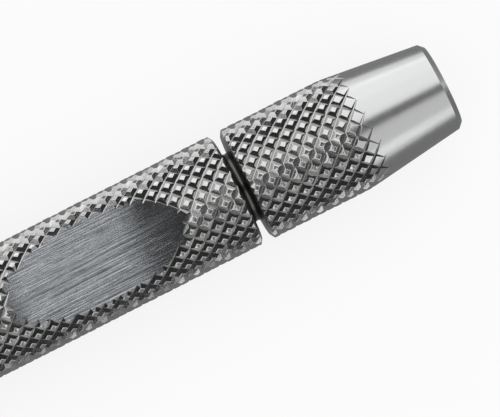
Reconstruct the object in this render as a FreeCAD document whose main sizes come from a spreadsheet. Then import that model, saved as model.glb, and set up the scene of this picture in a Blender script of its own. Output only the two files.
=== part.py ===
# Handle for a threaded wire: one turned steel bar, knurled in one pass over its whole length.
#
# The bar lies along X on its back, with the finger scoop facing up (+Z). The origin is the centre
# of the nose's end face and +X points out of the nose, where the wire screws in. Millimetres.
#
# The knurled surface is modelled at its crest diameter: the diamonds are surface texture.

import os

import FreeCAD
import Part
import Sketcher

SIZES = {
    # bar
    "overall_length": 110.0,
    "crest_diameter": 8.4,
    "rear_chamfer": 0.5,
    # tapered nose
    "nose_diameter": 6.47,
    "nose_chamfer": 0.36,
    "taper_length": 8.05,
    # narrow groove between the collar behind the nose and the grip
    "neck_from_nose": 15.61,
    "neck_width": 0.62,
    "neck_diameter": 5.1,
    "neck_edge_along": 0.25,
    "neck_edge_deep": 0.4,
    # scoop for the fingertip, ground with a wheel held across the bar
    "scoop_from_nose": 26.95,
    "scoop_depth": 1.48,
    "scoop_wheel_radius": 18.0,
    "scoop_rim_radius": 0.1,
    # tapped socket for the wire, at its tapping diameter
    "socket_bore": 2.5,
    "socket_depth": 12.0,
    "socket_mouth": 3.3,
    "socket_mouth_angle": 90.0,
    "socket_point_angle": 118.0,
}

doc = FreeCAD.newDocument("wire_handle")


def make_sheet():
    """Lists the driving sizes in a spreadsheet, one named cell to a size."""
    sheet = doc.addObject("Spreadsheet::Sheet", "sizes")
    for row, (name, value) in enumerate(SIZES.items(), start=1):
        sheet.set(f"A{row}", name)
        sheet.set(f"B{row}", str(value))
        sheet.setAlias(f"B{row}", name)
    doc.recompute()
    return sheet


def origin_plane(body, role):
    """One of the body's own three base planes."""
    return next(plane for plane in body.Origin.OriginFeatures if plane.Role == role)


def add_sketch(body, name, role):
    """An empty sketch on one of the body's base planes."""
    sketch = body.newObject("Sketcher::SketchObject", name)
    sketch.AttachmentSupport = (origin_plane(body, role), [""])
    sketch.MapMode = "FlatFace"
    return sketch


def drive(sketch, constraint, name, expression):
    """Adds a dimension to the sketch and ties it to the sheet."""
    index = sketch.addConstraint(constraint)
    sketch.renameConstraint(index, name)
    sketch.setExpression(f"Constraints.{name}", expression)


def pin_point(sketch, edge, end, name, back, out):
    """Sets a profile point by its distance back from the nose face and out from the axis.

    A distance of None puts the point on the nose face, or on the axis."""
    here = sketch.getPoint(edge, end)
    if back is None:
        sketch.addConstraint(Sketcher.Constraint("PointOnObject", edge, end, -2))
    else:
        constraint = Sketcher.Constraint("DistanceX", edge, end, -1, 1, -here.x)
        drive(sketch, constraint, f"{name}_back", back)
    if out is None:
        sketch.addConstraint(Sketcher.Constraint("PointOnObject", edge, end, -1))
    else:
        constraint = Sketcher.Constraint("DistanceY", -1, 1, edge, end, here.y)
        drive(sketch, constraint, f"{name}_out", out)


def close_outline(sketch, corners):
    """Draws a closed outline of straight lines through the corners and joins its ends."""
    points = [FreeCAD.Vector(x, y, 0) for x, y in corners]
    lines = []
    for start, end in zip(points, points[1:] + points[:1]):
        lines.append(sketch.addGeometry(Part.LineSegment(start, end), False))
    for line, following in zip(lines, lines[1:] + lines[:1]):
        sketch.addConstraint(Sketcher.Constraint("Coincident", line, 2, following, 1))
    return lines


def add_bar(body):
    """Turns the bar with its tapered nose."""
    length = SIZES["overall_length"]
    crest = SIZES["crest_diameter"] / 2
    nose = SIZES["nose_diameter"] / 2
    chamfer = SIZES["nose_chamfer"]
    taper = SIZES["taper_length"]
    sketch = add_sketch(body, "BarProfile", "XZ_Plane")
    corners = [
        (0, 0),
        (0, nose - chamfer),
        (-chamfer, nose),
        (-taper, crest),
        (-length, crest),
        (-length, 0),
    ]
    lines = close_outline(sketch, corners)
    pinned = [
        ("centre", None, None),
        ("nose_face", None, "sizes.nose_diameter / 2 - sizes.nose_chamfer"),
        ("nose_corner", "sizes.nose_chamfer", "sizes.nose_diameter / 2"),
        ("taper_end", "sizes.taper_length", "sizes.crest_diameter / 2"),
        ("rear_corner", "sizes.overall_length", "sizes.crest_diameter / 2"),
        ("rear_centre", "sizes.overall_length", None),
    ]
    for line, (name, back, out) in zip(lines, pinned):
        pin_point(sketch, line, 1, name, back, out)
    bar = body.newObject("PartDesign::Revolution", "Bar")
    bar.Profile = sketch
    bar.ReferenceAxis = (sketch, ["H_Axis"])
    bar.Angle = 360
    sketch.Visibility = False
    doc.recompute()
    return bar


def add_rear_chamfer(body, bar):
    """Breaks the rear end's corner."""
    length = SIZES["overall_length"]
    corner = [
        f"Edge{number}"
        for number, edge in enumerate(bar.Shape.Edges, start=1)
        if isinstance(edge.Curve, Part.Circle) and abs(edge.Curve.Center.x + length) < 1e-6
    ]
    chamfer = body.newObject("PartDesign::Chamfer", "RearChamfer")
    chamfer.Base = (bar, corner)
    chamfer.ChamferType = "Equal distance"
    chamfer.setExpression("Size", "sizes.rear_chamfer")
    doc.recompute()
    return chamfer


def add_neck(body):
    """Turns the narrow groove: a full-round bottom, straight walls and bevelled edges."""
    middle = SIZES["neck_from_nose"]
    half = SIZES["neck_width"] / 2
    root = SIZES["neck_diameter"] / 2
    crest = SIZES["crest_diameter"] / 2
    bevel_x = SIZES["neck_edge_along"]
    bevel_z = SIZES["neck_edge_deep"]
    above = crest + bevel_z
    sketch = add_sketch(body, "NeckProfile", "XZ_Plane")
    corners = [
        (-middle - half, root + half),
        (-middle - half, crest - bevel_z),
        (-middle - half - 2 * bevel_x, above),
        (-middle + half + 2 * bevel_x, above),
        (-middle + half, crest - bevel_z),
        (-middle + half, root + half),
    ]
    points = [FreeCAD.Vector(x, z, 0) for x, z in corners]
    lines = []
    for start, end in zip(points, points[1:]):
        lines.append(sketch.addGeometry(Part.LineSegment(start, end), False))
    lowest = FreeCAD.Vector(-middle, root, 0)
    bottom = sketch.addGeometry(Part.Arc(points[-1], lowest, points[0]), False)
    for line, following in zip(lines, lines[1:]):
        sketch.addConstraint(Sketcher.Constraint("Coincident", line, 2, following, 1))
    rear = "sizes.neck_from_nose + sizes.neck_width / 2"
    front = "sizes.neck_from_nose - sizes.neck_width / 2"
    floor = "sizes.neck_diameter / 2 + sizes.neck_width / 2"
    edge = "sizes.crest_diameter / 2 - sizes.neck_edge_deep"
    over = "sizes.crest_diameter / 2 + sizes.neck_edge_deep"
    pinned = [
        ("rear_floor", rear, floor),
        ("rear_edge", rear, edge),
        ("rear_over", f"{rear} + 2 * sizes.neck_edge_along", over),
        ("front_over", f"{front} - 2 * sizes.neck_edge_along", over),
        ("front_edge", front, edge),
    ]
    for line, (name, back, out) in zip(lines, pinned):
        pin_point(sketch, line, 1, name, back, out)
    pin_point(sketch, lines[-1], 2, "front_floor", front, floor)
    arc_starts_rear = sketch.getPoint(bottom, 1).distanceToPoint(points[0]) < 1e-6
    rear_end, front_end = (1, 2) if arc_starts_rear else (2, 1)
    sketch.addConstraint(Sketcher.Constraint("Coincident", bottom, rear_end, lines[0], 1))
    sketch.addConstraint(Sketcher.Constraint("Coincident", bottom, front_end, lines[-1], 2))
    constraint = Sketcher.Constraint("DistanceY", -1, 1, bottom, 3, root + half)
    drive(sketch, constraint, "floor_centre_out", floor)
    neck = body.newObject("PartDesign::Groove", "Neck")
    neck.Profile = sketch
    neck.ReferenceAxis = (sketch, ["H_Axis"])
    neck.Angle = 360
    sketch.Visibility = False
    doc.recompute()
    return neck


def add_scoop(body):
    """Grinds the finger scoop: the wheel's rim sinks into the top of the bar, right across it."""
    centre_x = -SIZES["scoop_from_nose"]
    radius = SIZES["scoop_wheel_radius"]
    centre_z = SIZES["crest_diameter"] / 2 - SIZES["scoop_depth"] + radius
    sketch = add_sketch(body, "ScoopWheel", "XZ_Plane")
    outline = Part.Circle(FreeCAD.Vector(centre_x, centre_z, 0), FreeCAD.Vector(0, 0, 1), radius)
    wheel = sketch.addGeometry(outline, False)
    height = "sizes.crest_diameter / 2 - sizes.scoop_depth + sizes.scoop_wheel_radius"
    pin_point(sketch, wheel, 3, "wheel", "sizes.scoop_from_nose", height)
    constraint = Sketcher.Constraint("Radius", wheel, radius)
    drive(sketch, constraint, "wheel_radius", "sizes.scoop_wheel_radius")
    scoop = body.newObject("PartDesign::Pocket", "Scoop")
    scoop.Profile = sketch
    scoop.SideType = "Symmetric"
    scoop.Type = "Length"
    scoop.setExpression("Length", "sizes.crest_diameter * 2")
    sketch.Visibility = False
    doc.recompute()
    return scoop


def add_scoop_rim(body, scoop):
    """Rounds the rim where the scoop meets the bar."""
    radius = SIZES["scoop_wheel_radius"]
    ground = next(
        face
        for face in scoop.Shape.Faces
        if isinstance(face.Surface, Part.Cylinder) and abs(face.Surface.Radius - radius) < 1e-6
    )
    rim = [
        f"Edge{number}"
        for number, edge in enumerate(scoop.Shape.Edges, start=1)
        if any(edge.isSame(side) for side in ground.Edges)
    ]
    fillet = body.newObject("PartDesign::Fillet", "ScoopRim")
    fillet.Base = (scoop, rim)
    fillet.setExpression("Radius", "sizes.scoop_rim_radius")
    doc.recompute()
    return fillet


def add_socket(body):
    """Drills the blind socket into the nose, with its drill point and countersunk mouth."""
    sketch = add_sketch(body, "SocketCentre", "YZ_Plane")
    radius = SIZES["socket_bore"] / 2
    outline = Part.Circle(FreeCAD.Vector(0, 0, 0), FreeCAD.Vector(0, 0, 1), radius)
    circle = sketch.addGeometry(outline, False)
    sketch.addConstraint(Sketcher.Constraint("Coincident", circle, 3, -1, 1))
    constraint = Sketcher.Constraint("Radius", circle, radius)
    drive(sketch, constraint, "bore_radius", "sizes.socket_bore / 2")
    doc.recompute()
    socket = body.newObject("PartDesign::Hole", "Socket")
    socket.Profile = sketch
    doc.recompute()
    socket.ThreadType = "None"
    socket.DepthType = "Dimension"
    socket.DrillPoint = "Angled"
    socket.HoleCutType = "Countersink"
    socket.setExpression("Diameter", "sizes.socket_bore")
    socket.setExpression("Depth", "sizes.socket_depth")
    socket.setExpression("DrillPointAngle", "sizes.socket_point_angle")
    socket.setExpression("HoleCutDiameter", "sizes.socket_mouth")
    socket.setExpression("HoleCutCountersinkAngle", "sizes.socket_mouth_angle")
    sketch.Visibility = False
    doc.recompute()
    return socket


def make_handle():
    """The whole handle: a bar that each later feature cuts into."""
    body = doc.addObject("PartDesign::Body", "Handle")
    body.Label = "handle"
    body.Placement = FreeCAD.Placement()
    bar = add_bar(body)
    volume = bar.Shape.Volume
    cuts = [lambda: add_rear_chamfer(body, bar), lambda: add_neck(body), lambda: add_scoop(body)]
    for cut in cuts:
        feature = cut()
        if not feature.Shape.Volume < volume - 1e-6:
            raise RuntimeError(f"{feature.Name} removes nothing")
        volume = feature.Shape.Volume
    add_scoop_rim(body, feature)
    socket = add_socket(body)
    if not socket.Shape.Volume < volume - 1e-6:
        raise RuntimeError("Socket removes nothing")
    body.Tip = socket
    doc.recompute()
    return body


def check_document(parts):
    """Refuses a document with a failed object, or a sub-part without one valid solid."""
    for item in doc.Objects:
        if "Invalid" in item.State or "Error" in item.State:
            raise RuntimeError(f"{item.Name} failed: {item.State}")
    for part in parts:
        shape = part.Shape
        if shape.isNull() or not shape.isValid() or len(shape.Solids) != 1:
            raise RuntimeError(f"{part.Label} isn't one valid solid")


make_sheet()
sub_parts = [make_handle()]
check_document(sub_parts)
os.makedirs("parts", exist_ok=True)
for sub_part in sub_parts:
    sub_part.Shape.exportStep(f"parts/{sub_part.Label}.step")
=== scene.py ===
import math
import random

import bmesh
import bpy
from mathutils import Matrix, Vector


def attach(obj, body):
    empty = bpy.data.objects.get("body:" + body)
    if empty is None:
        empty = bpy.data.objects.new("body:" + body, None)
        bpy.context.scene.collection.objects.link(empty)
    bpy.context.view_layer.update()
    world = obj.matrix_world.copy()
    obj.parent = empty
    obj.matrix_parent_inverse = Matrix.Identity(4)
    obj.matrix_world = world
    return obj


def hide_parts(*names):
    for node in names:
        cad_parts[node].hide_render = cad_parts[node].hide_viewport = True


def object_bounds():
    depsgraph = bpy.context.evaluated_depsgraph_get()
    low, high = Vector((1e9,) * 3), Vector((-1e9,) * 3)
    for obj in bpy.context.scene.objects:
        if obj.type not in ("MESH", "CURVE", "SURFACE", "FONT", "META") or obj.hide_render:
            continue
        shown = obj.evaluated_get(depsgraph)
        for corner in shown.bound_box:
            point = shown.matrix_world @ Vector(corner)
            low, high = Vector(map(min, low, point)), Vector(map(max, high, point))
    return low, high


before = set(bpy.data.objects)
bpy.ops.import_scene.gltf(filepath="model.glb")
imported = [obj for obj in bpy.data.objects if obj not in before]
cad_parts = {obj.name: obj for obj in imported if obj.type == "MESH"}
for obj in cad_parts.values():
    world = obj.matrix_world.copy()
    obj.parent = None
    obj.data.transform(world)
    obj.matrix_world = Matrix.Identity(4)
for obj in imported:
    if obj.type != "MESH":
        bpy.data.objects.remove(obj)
CAD_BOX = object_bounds()

bl_info = {
    "name": "Knurled wire handle",
    "version": (1, 0, 0),
    "blender": (4, 5, 0),
    "location": "3D View > Sidebar > Wire handle",
    "description": "Models and finishes a knurled steel handle for a threaded wire",
    "category": "Add Mesh",
}

MM = 0.001
TURN = 2 * math.pi
FLANK_SLOPE = math.radians(35)
TOP_SLOPE = math.radians(15)
SHARP_CORNER = math.radians(25)
DRILL_POINT = math.radians(118)


def millimetres(name, description, value):
    """A length property whose default is given in millimetres."""
    return bpy.props.FloatProperty(
        name=name, description=description, default=value * MM, unit="LENGTH", precision=5
    )


def colour(name, description, value):
    """A colour property."""
    return bpy.props.FloatVectorProperty(
        name=name, description=description, default=value, size=3, subtype="COLOR", min=0, max=1
    )


def share(name, description, value):
    """A property from 0 to 1."""
    return bpy.props.FloatProperty(
        name=name, description=description, default=value, min=0, max=1, subtype="FACTOR"
    )


class WireHandleSizes(bpy.types.PropertyGroup):
    """Sizes of the turned bar and of everything cut into it."""

    overall_length: bpy.props.FloatProperty(
        name="Overall length",
        description="Nose face to rear face",
        default=CAD_BOX[1][0] - CAD_BOX[0][0],
        unit="LENGTH",
    )
    crest_diameter: bpy.props.FloatProperty(
        name="Crest diameter",
        description="Diameter over the knurl's crests",
        default=CAD_BOX[1][2] - CAD_BOX[0][2],
        unit="LENGTH",
    )
    rear_chamfer: millimetres("Rear chamfer", "Bevel on the rear end's corner", 0.5)
    nose_diameter: millimetres("Nose diameter", "Diameter of the small end of the taper", 6.47)
    nose_chamfer: millimetres("Nose chamfer", "Bevel on the nose's corner", 0.36)
    taper_length: millimetres("Taper length", "Nose face to the foot of the taper", 8.05)
    neck_from_nose: millimetres("Neck from nose", "Nose face to the groove's middle", 15.61)
    neck_width: millimetres("Neck width", "Width of the groove between its walls", 0.62)
    neck_diameter: millimetres("Neck diameter", "Diameter at the groove's bottom", 5.1)
    neck_edge_along: millimetres("Neck edge along", "Length of the bevel on the groove's edges", 0.25)
    neck_edge_deep: millimetres("Neck edge deep", "Depth of the bevel on the groove's edges", 0.4)
    scoop_from_nose: millimetres("Scoop from nose", "Nose face to the scoop's middle", 26.95)
    scoop_depth: millimetres("Scoop depth", "Depth of the scoop below the crests", 1.48)
    scoop_wheel_radius: millimetres("Scoop wheel radius", "Radius of the wheel that ground the scoop", 18.0)
    socket_bore: millimetres("Socket bore", "Tapping diameter of the socket", 2.5)
    socket_depth: millimetres("Socket depth", "Nose face to the end of the straight bore", 12.0)
    socket_mouth: millimetres("Socket mouth", "Diameter of the countersink at the nose face", 3.3)
    thread_diameter: millimetres("Thread diameter", "Outer diameter of the socket's thread", 3.0)
    thread_pitch: millimetres("Thread pitch", "Advance of the thread in one turn", 0.5)


class WireHandleKnurl(bpy.types.PropertyGroup):
    """The diamond knurl rolled into the bar."""

    starts: bpy.props.IntProperty(
        name="Starts", description="Number of grooves that wind each way", default=21, min=6
    )
    pitch: millimetres("Pitch", "Spacing of the grooves along the bar", 1.188)
    valley: millimetres("Valley", "Depth of the grooves below the diamonds' tops", 0.255)
    crest_cut: millimetres("Crest cut", "Height of the sharp points that the diamonds lack", 0.17)
    blunting: millimetres("Blunting", "Half width of the rounding round each top", 0.035)
    dome: millimetres("Dome", "Rise of each top towards its middle", 0.018)
    deep_groove: millimetres("Deep groove", "Half width of the flat bottom of the right-hand grooves", 0.045)
    unevenness: millimetres("Unevenness", "How far single diamonds stray from the pattern", 0.016)
    clearance: millimetres("Clearance", "Tops' distance below the bar's largest diameter", 0.036)
    shift: millimetres("Shift", "Where the pattern starts along the bar", -0.06)
    turn: bpy.props.FloatProperty(
        name="Turn", description="Where the pattern starts round the bar", default=0.168, unit="ROTATION"
    )


class WireHandleFinish(bpy.types.PropertyGroup):
    """Colours and roughness of the steel, with two colours that paint shade into the knurl's valleys and the
    groove.
    """

    steel: colour("Steel", "Bare stainless steel", (0.66, 0.665, 0.665))
    # Valley colour: painted shade for the knurl's valleys; in the tapped socket it is random chatter tone.
    valley: colour("Valley", "Steel between the knurl's crests, dulled by handling", (0.52, 0.52, 0.51))
    # Groove colour: painted shade at the bottom of the narrow groove.
    groove: colour("Groove", "Steel under the dirt in the groove", (0.16, 0.16, 0.155))
    ground: colour("Ground", "Steel in the ground scoop", (0.74, 0.77, 0.805))
    taper_roughness: share("Taper roughness", "Roughness of the turned surfaces", 0.24)
    knurl_roughness: share("Knurl roughness", "Roughness of the rolled diamonds", 0.13)
    scoop_roughness: share("Scoop roughness", "Roughness of the ground scoop", 0.2)


class WireHandleStudio(bpy.types.PropertyGroup):
    """The floor, the light and the camera."""

    floor: colour("Floor", "Colour of the pale floor", (0.88, 0.88, 0.88))
    floor_glow: share("Floor glow", "How far the floor shines white to the eye, over its shadows", 0.8)
    tent_radius: millimetres("Tent radius", "From the bar to the soft boxes round it", 500)
    tent_middle: millimetres("Tent middle", "Where the soft boxes' angles are counted from", -17)
    view_width: millimetres("View width", "Width of the bar's plane that the camera takes in", 34.45)
    distance: millimetres("Distance", "From the camera to the bar's axis", 500)
    roll: bpy.props.FloatProperty(
        name="Roll", description="Slope of the bar in the picture", default=math.radians(27), unit="ROTATION"
    )
    aim_along: millimetres("Aim along", "Middle of the picture, along the bar", -15.70)
    aim_across: millimetres("Aim across", "Middle of the picture, across the bar", -1.578)
    tilt: bpy.props.FloatProperty(
        name="Tilt",
        description="Lean of the camera towards the rear",
        default=math.radians(3.2),
        unit="ROTATION",
    )


def store_mesh(name, bm):
    """Puts a finished bmesh into an object of its own at the origin."""
    mesh = bpy.data.meshes.new(name)
    bm.to_mesh(mesh)
    bm.free()
    piece = bpy.data.objects.new(name, mesh)
    bpy.context.scene.collection.objects.link(piece)
    return piece


def bevelled(bm, geom, offset, affect):
    """Bevels edges or corners with one flat strip, which shading turns into a rounding."""
    return bmesh.ops.bevel(
        bm,
        geom=geom,
        offset=offset,
        offset_type="OFFSET",
        segments=1,
        profile=0.5,
        affect=affect,
        clamp_overlap=False,
        material=-1,
    )["faces"]


def is_ringed(face, ring):
    """Whether every edge of a face touches one of the ring's faces, and the face isn't one of them."""
    return face not in ring and all(ring & set(edge.link_faces) for edge in face.edges)


def winds_right(edge):
    """Whether an edge on the bar's surface turns towards +Y at the top as it runs towards the nose."""
    start, end = sorted((vert.co for vert in edge.verts), key=lambda point: point.x)
    return start.z * end.y - start.y * end.z > 0


def knurled_blank(sizes, knurl):
    """A bar a little too long, covered in blunted diamonds that reach its crest diameter."""
    crest = sizes.crest_diameter / 2 - knurl.clearance
    point = crest + knurl.crest_cut
    valley = crest - knurl.valley
    row_step = knurl.pitch / 2
    columns = 2 * knurl.starts
    rows = 2 * math.ceil((sizes.overall_length / row_step + 8) / 2)
    front = 4 * row_step + knurl.shift
    stray = random.Random(7)
    bm = bmesh.new()
    bmesh.ops.create_grid(bm, x_segments=rows, y_segments=columns, size=0.5)
    valleys, points = [], []
    strayed = {}
    for vert in bm.verts:
        row = round((vert.co.x + 0.5) * rows)
        column = round((vert.co.y + 0.5) * columns) % columns
        low = (row + column) % 2 == 0
        if (row, column) not in strayed:
            strayed[row, column] = [stray.uniform(-1, 1) * knurl.unevenness for _ in range(3)]
        along, around, out = strayed[row, column]
        radius = (valley if low else point) + out
        angle = column / columns * TURN + knurl.turn + around / crest
        vert.co = (front - row * row_step + along, radius * math.sin(angle), radius * math.cos(angle))
        (valleys if low else points).append(vert)
    bmesh.ops.connect_verts(bm, verts=valleys)
    bmesh.ops.remove_doubles(bm, verts=bm.verts, dist=1e-7)
    points = [vert for vert in points if vert.is_valid and not vert.is_boundary]
    lowest = {vert for vert in valleys if vert.is_valid}
    grooves = [edge for edge in bm.edges if lowest.issuperset(edge.verts) and not edge.is_boundary]
    ridge = math.hypot(row_step, point - valley) * knurl.crest_cut / (point - valley)
    tips = bevelled(bm, points, ridge, "VERTICES")
    corners = list({edge for face in tips for edge in face.edges})
    rims = set(bevelled(bm, corners, knurl.blunting, "EDGES"))
    tops = [face for face in bm.faces if is_ringed(face, rims)]
    bmesh.ops.poke(bm, faces=tops, offset=knurl.dome)
    deep = [edge for edge in grooves if edge.is_valid and winds_right(edge)]
    bevelled(bm, deep, knurl.deep_groove, "EDGES")
    bmesh.ops.holes_fill(bm, edges=[edge for edge in bm.edges if edge.is_boundary], sides=0)
    bmesh.ops.recalc_face_normals(bm, faces=bm.faces)
    return store_mesh("knurled_blank", bm)


def turned_solid(name, outline, steps, turn=0.0):
    """Spins an outline of (x, radius) points round the bar's axis into a closed solid."""
    bm = bmesh.new()
    verts = [bm.verts.new((x, 0, radius)) for x, radius in outline]
    edges = [bm.edges.new(pair) for pair in zip(verts, verts[1:])]
    bmesh.ops.rotate(bm, verts=verts, cent=(0, 0, 0), matrix=Matrix.Rotation(turn, 3, "X"))
    bmesh.ops.spin(
        bm,
        geom=verts + edges,
        cent=(0, 0, 0),
        axis=(1, 0, 0),
        angle=TURN,
        steps=steps,
        use_merge=True,
    )
    bmesh.ops.remove_doubles(bm, verts=bm.verts, dist=1e-7)
    bmesh.ops.recalc_face_normals(bm, faces=bm.faces)
    return store_mesh(name, bm)


def bar_outline(sizes):
    """Half the bar's section: rear face, groove with a full-round bottom, collar, taper and nose."""
    crest = sizes.crest_diameter / 2
    nose = sizes.nose_diameter / 2
    neck = sizes.neck_diameter / 2
    half = sizes.neck_width / 2
    middle = -sizes.neck_from_nose
    shoulder = crest - sizes.neck_edge_deep
    outline = [
        (-sizes.overall_length, 0),
        (-sizes.overall_length, crest - sizes.rear_chamfer),
        (-sizes.overall_length + sizes.rear_chamfer, crest),
        (middle - half - sizes.neck_edge_along, crest),
        (middle - half, shoulder),
    ]
    for step in range(13):
        angle = step / 12 * math.pi
        outline.append((middle - half * math.cos(angle), neck + half - half * math.sin(angle)))
    outline += [
        (middle + half, shoulder),
        (middle + half + sizes.neck_edge_along, crest),
        (-sizes.taper_length, crest),
        (-sizes.nose_chamfer, nose),
        (0, nose - sizes.nose_chamfer),
        (0, 0),
    ]
    return outline


def socket_outline(sizes):
    """Half the drilled socket's section: drill point, straight bore and countersunk mouth."""
    bore = sizes.socket_bore / 2
    mouth = sizes.socket_mouth / 2
    over = sizes.nose_chamfer
    return [
        (-sizes.socket_depth - bore / math.tan(DRILL_POINT / 2), 0),
        (-sizes.socket_depth, bore),
        (-(mouth - bore), bore),
        (over, mouth + over),
        (over, 0),
    ]


def wheel_height(sizes):
    """Height of the grinding wheel's axle over the bar's axis."""
    return sizes.crest_diameter / 2 - sizes.scoop_depth + sizes.scoop_wheel_radius


def grinding_wheel(sizes):
    """The wheel that grinds the scoop, lying across the bar."""
    bm = bmesh.new()
    bmesh.ops.create_cone(
        bm,
        cap_ends=True,
        segments=512,
        radius1=sizes.scoop_wheel_radius,
        radius2=sizes.scoop_wheel_radius,
        depth=2 * sizes.crest_diameter,
    )
    bmesh.ops.rotate(bm, verts=bm.verts, cent=(0, 0, 0), matrix=Matrix.Rotation(math.pi / 2, 3, "X"))
    bmesh.ops.translate(bm, verts=bm.verts, vec=(-sizes.scoop_from_nose, 0, wheel_height(sizes)))
    return store_mesh("grinding_wheel", bm)


def thread_tap(sizes):
    """The winding tooth that cuts the socket's thread: a triangle swept along a helix."""
    steps = 24
    turns = math.ceil(sizes.socket_depth / sizes.thread_pitch) + 1
    inner = sizes.socket_bore / 2 - 0.1 * MM
    outer = sizes.thread_diameter / 2
    half = 0.46 * sizes.thread_pitch
    start = -sizes.socket_depth + sizes.thread_pitch
    bm = bmesh.new()
    corners = [(start - half, 0, inner), (start, 0, outer), (start + half, 0, inner)]
    verts = [bm.verts.new(corner) for corner in corners]
    edges = [bm.edges.new(pair) for pair in zip(verts, verts[1:] + verts[:1])]
    bmesh.ops.spin(
        bm,
        geom=verts + edges,
        cent=(0, 0, 0),
        axis=(1, 0, 0),
        dvec=(sizes.thread_pitch / steps, 0, 0),
        angle=turns * TURN,
        steps=turns * steps,
    )
    bmesh.ops.holes_fill(bm, edges=[edge for edge in bm.edges if edge.is_boundary], sides=0)
    bmesh.ops.recalc_face_normals(bm, faces=bm.faces)
    return store_mesh("thread_tap", bm)


def machine(piece, tool, operation):
    """Works one solid with another and takes the tool away."""
    cut = piece.modifiers.new(tool.name, "BOOLEAN")
    cut.solver = "MANIFOLD"
    cut.operation = operation
    cut.object = tool
    depsgraph = bpy.context.evaluated_depsgraph_get()
    mesh = bpy.data.meshes.new_from_object(piece.evaluated_get(depsgraph), depsgraph=depsgraph)
    piece.modifiers.clear()
    old, piece.data = piece.data, mesh
    bpy.data.meshes.remove(old)
    bpy.data.meshes.remove(tool.data)
    if not mesh.polygons:
        raise RuntimeError(f"{operation} leaves nothing")


class Value:
    """A shader socket that takes part in sums."""

    def __init__(self, work, socket):
        self.work = work
        self.socket = socket

    def math(self, operation, *others):
        return self.work.sum(operation, self, *others)

    def __add__(self, other):
        return self.math("ADD", other)

    __radd__ = __add__

    def __mul__(self, other):
        return self.math("MULTIPLY", other)

    __rmul__ = __mul__

    def __sub__(self, other):
        return self.math("SUBTRACT", other)

    def __rsub__(self, other):
        return self.work.sum("SUBTRACT", other, self)

    def __truediv__(self, other):
        return self.math("DIVIDE", other)

    def held(self):
        """The value kept between 0 and 1."""
        return self.math("MINIMUM", 1).math("MAXIMUM", 0)


class Finish:
    """A material under construction."""

    def __init__(self, name):
        self.material = bpy.data.materials.new(name)
        self.material.use_nodes = True
        self.tree = self.material.node_tree
        self.tree.nodes.clear()

    def node(self, kind, inputs=None, settings=None, output=0):
        """Adds a node: its settings first, then its inputs, each a link, a number or a colour."""
        node = self.tree.nodes.new(kind)
        for name, setting in (settings or {}).items():
            setattr(node, name, setting)
        for name, value in (inputs or {}).items():
            slot = node.inputs[name]
            if isinstance(value, Value):
                self.tree.links.new(value.socket, slot)
            elif slot.type == "RGBA":
                slot.default_value = (*value, 1)
            else:
                slot.default_value = value
        return Value(self, node.outputs[output]) if len(node.outputs) else None

    def sum(self, operation, *terms):
        return self.node("ShaderNodeMath", dict(enumerate(terms)), {"operation": operation})

    def place(self):
        """The place on the piece."""
        return self.node("ShaderNodeTexCoord", output="Object")

    def stretched(self, x, y, z):
        """The place on the piece, scaled along each axis."""
        return self.node("ShaderNodeMapping", {"Vector": self.place(), "Scale": (x, y, z)})

    def parts(self):
        """The place on the piece as three values."""
        return [self.node("ShaderNodeSeparateXYZ", {0: self.place()}, output=axis) for axis in range(3)]

    def noise(self, place, scale, detail=2.0, roughness=0.5):
        inputs = {"Vector": place, "Scale": scale, "Detail": detail, "Roughness": roughness}
        return self.node("ShaderNodeTexNoise", inputs)

    def mixed(self, factor, low, high):
        """Goes from one colour to another."""
        inputs = {"Factor": factor, 6: low, 7: high}
        return self.node("ShaderNodeMix", inputs, {"data_type": "RGBA"}, output=2)

    def bumped(self, height, depth):
        return self.node("ShaderNodeBump", {"Height": height, "Distance": depth, "Strength": 1.0})

    def ended(self, shader):
        """Gives the material its surface."""
        self.node("ShaderNodeOutputMaterial", {"Surface": shader})
        return self.material

    def metal(self, base, roughness, normal):
        """Ends the material as bare metal."""
        inputs = {"Base Color": base, "Metallic": 1.0, "Roughness": roughness, "Normal": normal}
        return self.ended(self.node("ShaderNodeBsdfPrincipled", inputs))


def knurled_steel(sizes, knurl, finish):
    """Rolled diamonds: painted shade darkening the valleys towards their roots, random grime, fine rolling
    marks.
    """
    work = Finish("knurled_steel")
    crest = sizes.crest_diameter / 2
    x, y, z = work.parts()
    out = (y * y + z * z).math("SQRT")
    height = ((out - (crest - knurl.valley)) / knurl.valley).held()
    grime = work.noise(work.place(), 900, 3, 0.6)
    grain = work.noise(work.place(), 9000, 3, 0.6)
    # Painted shade: the steel darkens towards the valley colour with depth below the crests, mixed with
    # random grime noise.
    unshaded_clean = (height * 0.8 + grime * 0.5 - 0.1).held()
    base = work.mixed(unshaded_clean, finish.valley, finish.steel)
    roughness = finish.knurl_roughness + 0.04 * (1 - height) + 0.1 * (grain - 0.5)
    return work.metal(base, roughness, work.bumped(grain, 0.004 * MM))


def turned_steel(sizes, finish):
    """Turned and polished surfaces: faint rings, specks, smears, and painted shade down in the groove."""
    work = Finish("turned_steel")
    x, y, z = work.parts()
    out = (y * y + z * z).math("SQRT")
    crest = sizes.crest_diameter / 2
    # Painted shade: deep below the crests and near the groove's middle, the steel darkens towards the groove
    # colour.
    low = ((crest - 0.3 * MM - out) / (0.7 * MM)).held()
    near = (1.6 - (x + sizes.neck_from_nose).math("ABSOLUTE") / (0.5 * MM)).held()
    painted_groove_shade = low * near
    rings = work.noise(work.stretched(1, 0.02, 0.02), 30000, 2, 0.6)
    specks = work.noise(work.place(), 5000, 4, 0.65)
    smears = work.noise(work.stretched(0.3, 1, 1), 700, 3, 0.6)
    unshaded_clean = work.mixed(specks, [0.94 * part for part in finish.steel], finish.steel)
    base = work.mixed(painted_groove_shade, unshaded_clean, finish.groove)
    roughness = finish.taper_roughness + 0.1 * (smears - 0.5) + 0.08 * (specks - 0.5)
    return work.metal(base, roughness, work.bumped(rings * 0.6 + specks * 0.4, 0.0015 * MM))


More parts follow.
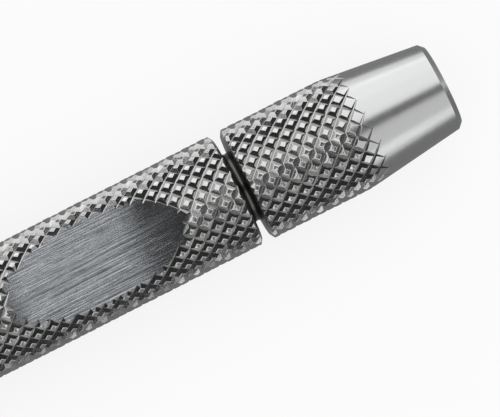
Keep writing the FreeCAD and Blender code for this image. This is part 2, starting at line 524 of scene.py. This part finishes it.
def ground_steel(finish):
    """The scoop's grinding marks: streaks along the bar, some deep and dark."""
    work = Finish("ground_steel")
    fine = work.noise(work.stretched(0.01, 1, 0.01), 24000, 2, 0.6)
    broad = work.noise(work.stretched(0.02, 1, 0.02), 5200, 4, 0.75)
    clouds = work.noise(work.stretched(0.6, 1, 1), 650, 2, 0.5)
    scratch = ((broad - 0.36) / 0.1).held()
    dark = [0.45 * part for part in finish.ground]
    base = work.mixed((scratch * 0.7 + (fine - 0.3) * 0.6 + (clouds - 0.4) * 0.6).held(), dark, finish.ground)
    roughness = finish.scoop_roughness + 0.12 * (fine - 0.5) + 0.1 * (clouds - 0.5)
    return work.metal(base, roughness, work.bumped(fine * 0.12 + broad * 0.88, 0.018 * MM))


def tapped_steel(finish):
    """The socket's cut threads: rougher and duller than the outside."""
    work = Finish("tapped_steel")
    chatter = work.noise(work.stretched(0.2, 1, 1), 9000, 3, 0.6)
    base = work.mixed(chatter, finish.valley, finish.steel)
    return work.metal(base, 0.3 + 0.2 * chatter, work.bumped(chatter, 0.004 * MM))


def surface_kind(face, sizes):
    """Tells what made a face: 0 the knurl wheels, 1 the lathe, 2 the grinding wheel, 3 drill and tap."""
    centre = face.calc_center_median()
    out = math.hypot(centre.y, centre.z)
    if out < sizes.thread_diameter / 2 + 0.2 * MM and centre.x < -0.01 * MM:
        return 3 if abs(face.normal.x) < 0.999 or centre.x > -sizes.overall_length / 2 else 1
    wheel = math.hypot(centre.x + sizes.scoop_from_nose, centre.z - wheel_height(sizes))
    if abs(wheel - sizes.scoop_wheel_radius) < 0.003 * MM:
        return 2
    outline = bar_outline(sizes)
    for (x0, r0), (x1, r1) in zip(outline, outline[1:]):
        span = Vector((x1 - x0, r1 - r0))
        offset = Vector((centre.x - x0, out - r0))
        along = offset.dot(span) / span.length_squared
        if -1e-6 <= along <= 1 + 1e-6 and abs(offset.cross(span)) / span.length < 0.002 * MM:
            return 1
    return 0


def diamond_part(face, sizes, knurl):
    """Tells which part of a diamond a face is."""
    centre = face.calc_center_median()
    out = Vector((0, centre.y, centre.z))
    slope = face.normal.angle(out, 0)
    below = sizes.crest_diameter / 2 - knurl.clearance - out.length
    if slope > FLANK_SLOPE:
        return "flank"
    if below > knurl.valley / 2:
        return "groove"
    return "top" if slope < TOP_SLOPE else "rim"


def turned_normal(face, point):
    """A turned face's normal, swung round the axis to one of its corners."""
    out = Vector((0, point.y, point.z))
    if out.length < 0.01 * MM or abs(face.normal.x) > 0.999:
        return face.normal.copy()
    centre = face.calc_center_median()
    steep = math.copysign(face.normal.yz.length, centre.yz.dot(face.normal.yz))
    return (out.normalized() * steep + Vector((face.normal.x, 0, 0))).normalized()


def diamond_normal(loop, part, parts, domes):
    """A diamond face's normal at one corner: flanks are flat, tops are domed, and rims run between them."""
    if part == "top":
        return domes[loop.vert].normalized()
    normal = loop.face.normal.copy()
    if part == "rim":
        for edge in (loop.edge, loop.link_loop_prev.edge):
            for other in edge.link_faces:
                if parts.get(other) == "flank":
                    normal = other.normal.copy()
                elif parts.get(other) == "top":
                    normal = domes[loop.vert].normalized()
    return normal


def corner_normals(bm, sizes, knurl):
    """Shading normals that follow each face's true shape; the socket's threads keep their own."""
    wheel = Vector((-sizes.scoop_from_nose, 0, wheel_height(sizes)))
    parts = {face: diamond_part(face, sizes, knurl) for face in bm.faces if face.material_index == 0}
    domes = {}
    for face, part in parts.items():
        if part == "top":
            for vert in face.verts:
                domes[vert] = domes.get(vert, Vector()) + face.normal * face.calc_area()
    normals = []
    for face in bm.faces:
        for loop in face.loops:
            point = loop.vert.co
            if face.material_index == 0:
                normal = diamond_normal(loop, parts[face], parts, domes)
            elif face.material_index == 1:
                normal = turned_normal(face, point)
            elif face.material_index == 2:
                normal = Vector((wheel.x - point.x, 0, wheel.z - point.z)).normalized()
            else:
                normal = Vector()
            normals.append(normal)
    return normals


def dress_bar(piece, sizes, knurl, finish):
    """Gives each face of the bar its finish, and smooths all but the sharp corners."""
    piece.data.materials.clear()
    piece.data.materials.append(knurled_steel(sizes, knurl, finish))
    piece.data.materials.append(turned_steel(sizes, finish))
    piece.data.materials.append(ground_steel(finish))
    piece.data.materials.append(tapped_steel(finish))
    bm = bmesh.new()
    bm.from_mesh(piece.data)
    for face in bm.faces:
        face.material_index = surface_kind(face, sizes)
        face.smooth = True
    for edge in bm.edges:
        kinds = {face.material_index for face in edge.link_faces}
        edge.smooth = len(kinds) == 1 and edge.calc_face_angle(0) < SHARP_CORNER
    normals = corner_normals(bm, sizes, knurl)
    bm.to_mesh(piece.data)
    bm.free()
    piece.data.normals_split_custom_set(normals)


class WIREHANDLE_OT_bar(bpy.types.Operator):
    """Model the knurled bar with its taper, groove, scoop and tapped socket"""

    bl_idname = "wirehandle.bar"
    bl_label = "Model the bar"

    def execute(self, context):
        sizes = context.scene.wire_handle_sizes
        knurl = context.scene.wire_handle_knurl
        steps = 8 * knurl.starts
        piece = knurled_blank(sizes, knurl)
        turned = turned_solid("turned_bar", bar_outline(sizes), steps, TURN / steps / 2 - knurl.turn)
        machine(piece, turned, "INTERSECT")
        machine(piece, grinding_wheel(sizes), "DIFFERENCE")
        machine(piece, turned_solid("drill", socket_outline(sizes), 48), "DIFFERENCE")
        machine(piece, thread_tap(sizes), "DIFFERENCE")
        piece.name = piece.data.name = "wire_handle_bar"
        dress_bar(piece, sizes, knurl, context.scene.wire_handle_finish)
        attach(piece, "root")
        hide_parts("handle")
        return {"FINISHED"}


def glow(name, level):
    """A material that only gives off light, or hardly any for a dark card."""
    work = Finish(name)
    return work.ended(work.node("ShaderNodeEmission", {"Color": (1, 1, 1), "Strength": level}))


def studio_card(name, corners, level, bend=0.0):
    """A card that only reflections see: a soft box if it is light, a flag if it is dark.

    It is the line between the first two corners, swept to the third corner or bent round the bar.
    """
    bm = bmesh.new()
    verts = [bm.verts.new(corner) for corner in corners[:2]]
    edge = bm.edges.new(verts)
    if bend:
        steps = math.ceil(abs(bend) / math.radians(3))
        bmesh.ops.spin(bm, geom=[*verts, edge], cent=(0, 0, 0), axis=(1, 0, 0), angle=bend, steps=steps)
    else:
        swept = bmesh.ops.extrude_edge_only(bm, edges=[edge])["geom"]
        moved = [part for part in swept if isinstance(part, bmesh.types.BMVert)]
        bmesh.ops.translate(bm, verts=moved, vec=Vector(corners[2]) - Vector(corners[0]))
    card = store_mesh(name, bm)
    card.data.materials.append(glow(name, level))
    card.visible_camera = False
    card.visible_shadow = False
    card.visible_diffuse = False


def light_tent(sizes, studio):
    """Soft boxes bent over the bar like a tunnel, dark at both ends and along the gap for the camera."""
    radius = studio.tent_radius
    strips = (
        ("far_rear", -90, -50, -50, -7, 1.1),
        ("far_rear_high", -50, -20, -43, -7, 0.95),
        ("far_front", -84, -50, -7, 50, 1.25),
        ("far_front_high", -50, -20, -7, 44, 1.18),
        ("far_edge", -90, -84, -7, 50, 1.6),
        ("top_box", -20, -6, -19, 40, 1.18),
        ("camera_gap", -6, 15, -19, 45, 0.13),
        ("near_rear_high", 18, 28, -19, -7, 1.2),
        ("near_rear", 28, 90, -43, -7, 1.2),
        ("near_middle", 15, 90, -7, 8, 0.25),
        ("near_box", 15, 58, 8, 42, 0.77),
        ("near_strip", 58, 80, 8, 20, 1.4),
        ("near_side", 58, 90, 20, 42, 0.6),
        ("near_edge", 80, 90, 8, 20, 0.8),
    )
    for name, low, high, rear, front, level in strips:
        start, end = (radius * math.tan(math.radians(angle)) + studio.tent_middle for angle in (rear, front))
        angle = math.radians(low)
        height, side = radius * math.cos(angle), -radius * math.sin(angle)
        span = math.radians(high - low)
        studio_card(name, [(start, side, height), (end, side, height)], level, span)
    outside = 1.04 * radius
    studio_card("dark_tunnel", [(-8 * radius, outside, 0), (8 * radius, outside, 0)], 0.03, math.pi)
    rear, front = -300 * MM, 200 * MM
    ground = -sizes.crest_diameter / 2 + 0.05 * MM
    for name, inner, outer, level in (("near_ground", -2, -400, 0.22), ("far_ground", 2, 20, 0.25)):
        corners = [(rear, outer * MM, ground), (front, outer * MM, ground), (rear, inner * MM, ground)]
        studio_card(name, corners, level)


def pale_floor(sizes, studio):
    """The floor under the bar, white to the eye and still shaded by the bar."""
    bm = bmesh.new()
    bmesh.ops.create_grid(bm, x_segments=1, y_segments=1, size=10)
    bmesh.ops.translate(bm, verts=bm.verts, vec=(0, 0, -sizes.crest_diameter / 2))
    floor = store_mesh("floor", bm)
    paint = Finish("pale_floor")
    chalk = paint.node("ShaderNodeBsdfDiffuse", {"Color": studio.floor})
    light = paint.node("ShaderNodeEmission", {"Color": (1, 1, 1), "Strength": 1.0})
    rays = ("Is Camera Ray", "Is Glossy Ray", "Is Transmission Ray")
    camera, glossy, passing = (paint.node("ShaderNodeLightPath", output=ray) for ray in rays)
    share_lit = (camera + glossy + passing) * studio.floor_glow
    mix = paint.node("ShaderNodeMixShader", {0: share_lit, 1: chalk, 2: light})
    floor.data.materials.append(paint.ended(mix))


class WIREHANDLE_OT_stage(bpy.types.Operator):
    """Set up the pale floor, the lights and the camera"""

    bl_idname = "wirehandle.stage"
    bl_label = "Set the stage"

    def execute(self, context):
        scene = context.scene
        sizes = scene.wire_handle_sizes
        studio = scene.wire_handle_studio
        pale_floor(sizes, studio)
        light_tent(sizes, studio)
        scene.view_settings.view_transform = "Standard"
        world = bpy.data.worlds.new("studio")
        world.use_nodes = True
        world.node_tree.nodes["Background"].inputs["Strength"].default_value = 1.0
        world.node_tree.nodes["Background"].inputs["Color"].default_value = (1, 1, 1, 1)
        scene.world = world
        tilt, roll = studio.tilt, studio.roll
        along = Vector((math.cos(tilt), 0, math.sin(tilt)))
        across = Vector((0, 1, 0))
        back = Vector((-math.sin(tilt), 0, math.cos(tilt)))
        right = math.cos(roll) * along - math.sin(roll) * across
        up = math.sin(roll) * along + math.cos(roll) * across
        target = studio.aim_along * along + studio.aim_across * across
        lens = bpy.data.cameras.new("camera")
        lens.sensor_width = 36
        lens.lens = lens.sensor_width * studio.distance / studio.view_width
        lens.clip_start, lens.clip_end = 0.01, 50
        camera = bpy.data.objects.new("camera", lens)
        turn = Matrix((right, up, back)).transposed()
        camera.matrix_world = Matrix.Translation(target + studio.distance * back) @ turn.to_4x4()
        scene.collection.objects.link(camera)
        scene.camera = camera
        return {"FINISHED"}


class WIREHANDLE_PT_tools(bpy.types.Panel):
    """Lists the steps and their sizes"""

    bl_idname = "WIREHANDLE_PT_tools"
    bl_label = "Wire handle"
    bl_space_type = "VIEW_3D"
    bl_region_type = "UI"
    bl_category = "Wire handle"

    def draw(self, context):
        for operator in OPERATORS:
            self.layout.operator(operator.bl_idname)


GROUPS = (WireHandleSizes, WireHandleKnurl, WireHandleFinish, WireHandleStudio)
OPERATORS = (WIREHANDLE_OT_bar, WIREHANDLE_OT_stage)
CLASSES = GROUPS + OPERATORS + (WIREHANDLE_PT_tools,)


def register():
    for cls in CLASSES:
        bpy.utils.register_class(cls)
    bpy.types.Scene.wire_handle_sizes = bpy.props.PointerProperty(type=WireHandleSizes)
    bpy.types.Scene.wire_handle_knurl = bpy.props.PointerProperty(type=WireHandleKnurl)
    bpy.types.Scene.wire_handle_finish = bpy.props.PointerProperty(type=WireHandleFinish)
    bpy.types.Scene.wire_handle_studio = bpy.props.PointerProperty(type=WireHandleStudio)


def unregister():
    del bpy.types.Scene.wire_handle_studio
    del bpy.types.Scene.wire_handle_finish
    del bpy.types.Scene.wire_handle_knurl
    del bpy.types.Scene.wire_handle_sizes
    for cls in reversed(CLASSES):
        bpy.utils.unregister_class(cls)


def main():
    register()
    bpy.ops.wirehandle.bar()
    bpy.ops.wirehandle.stage()


if __name__ == "__main__":
    main()
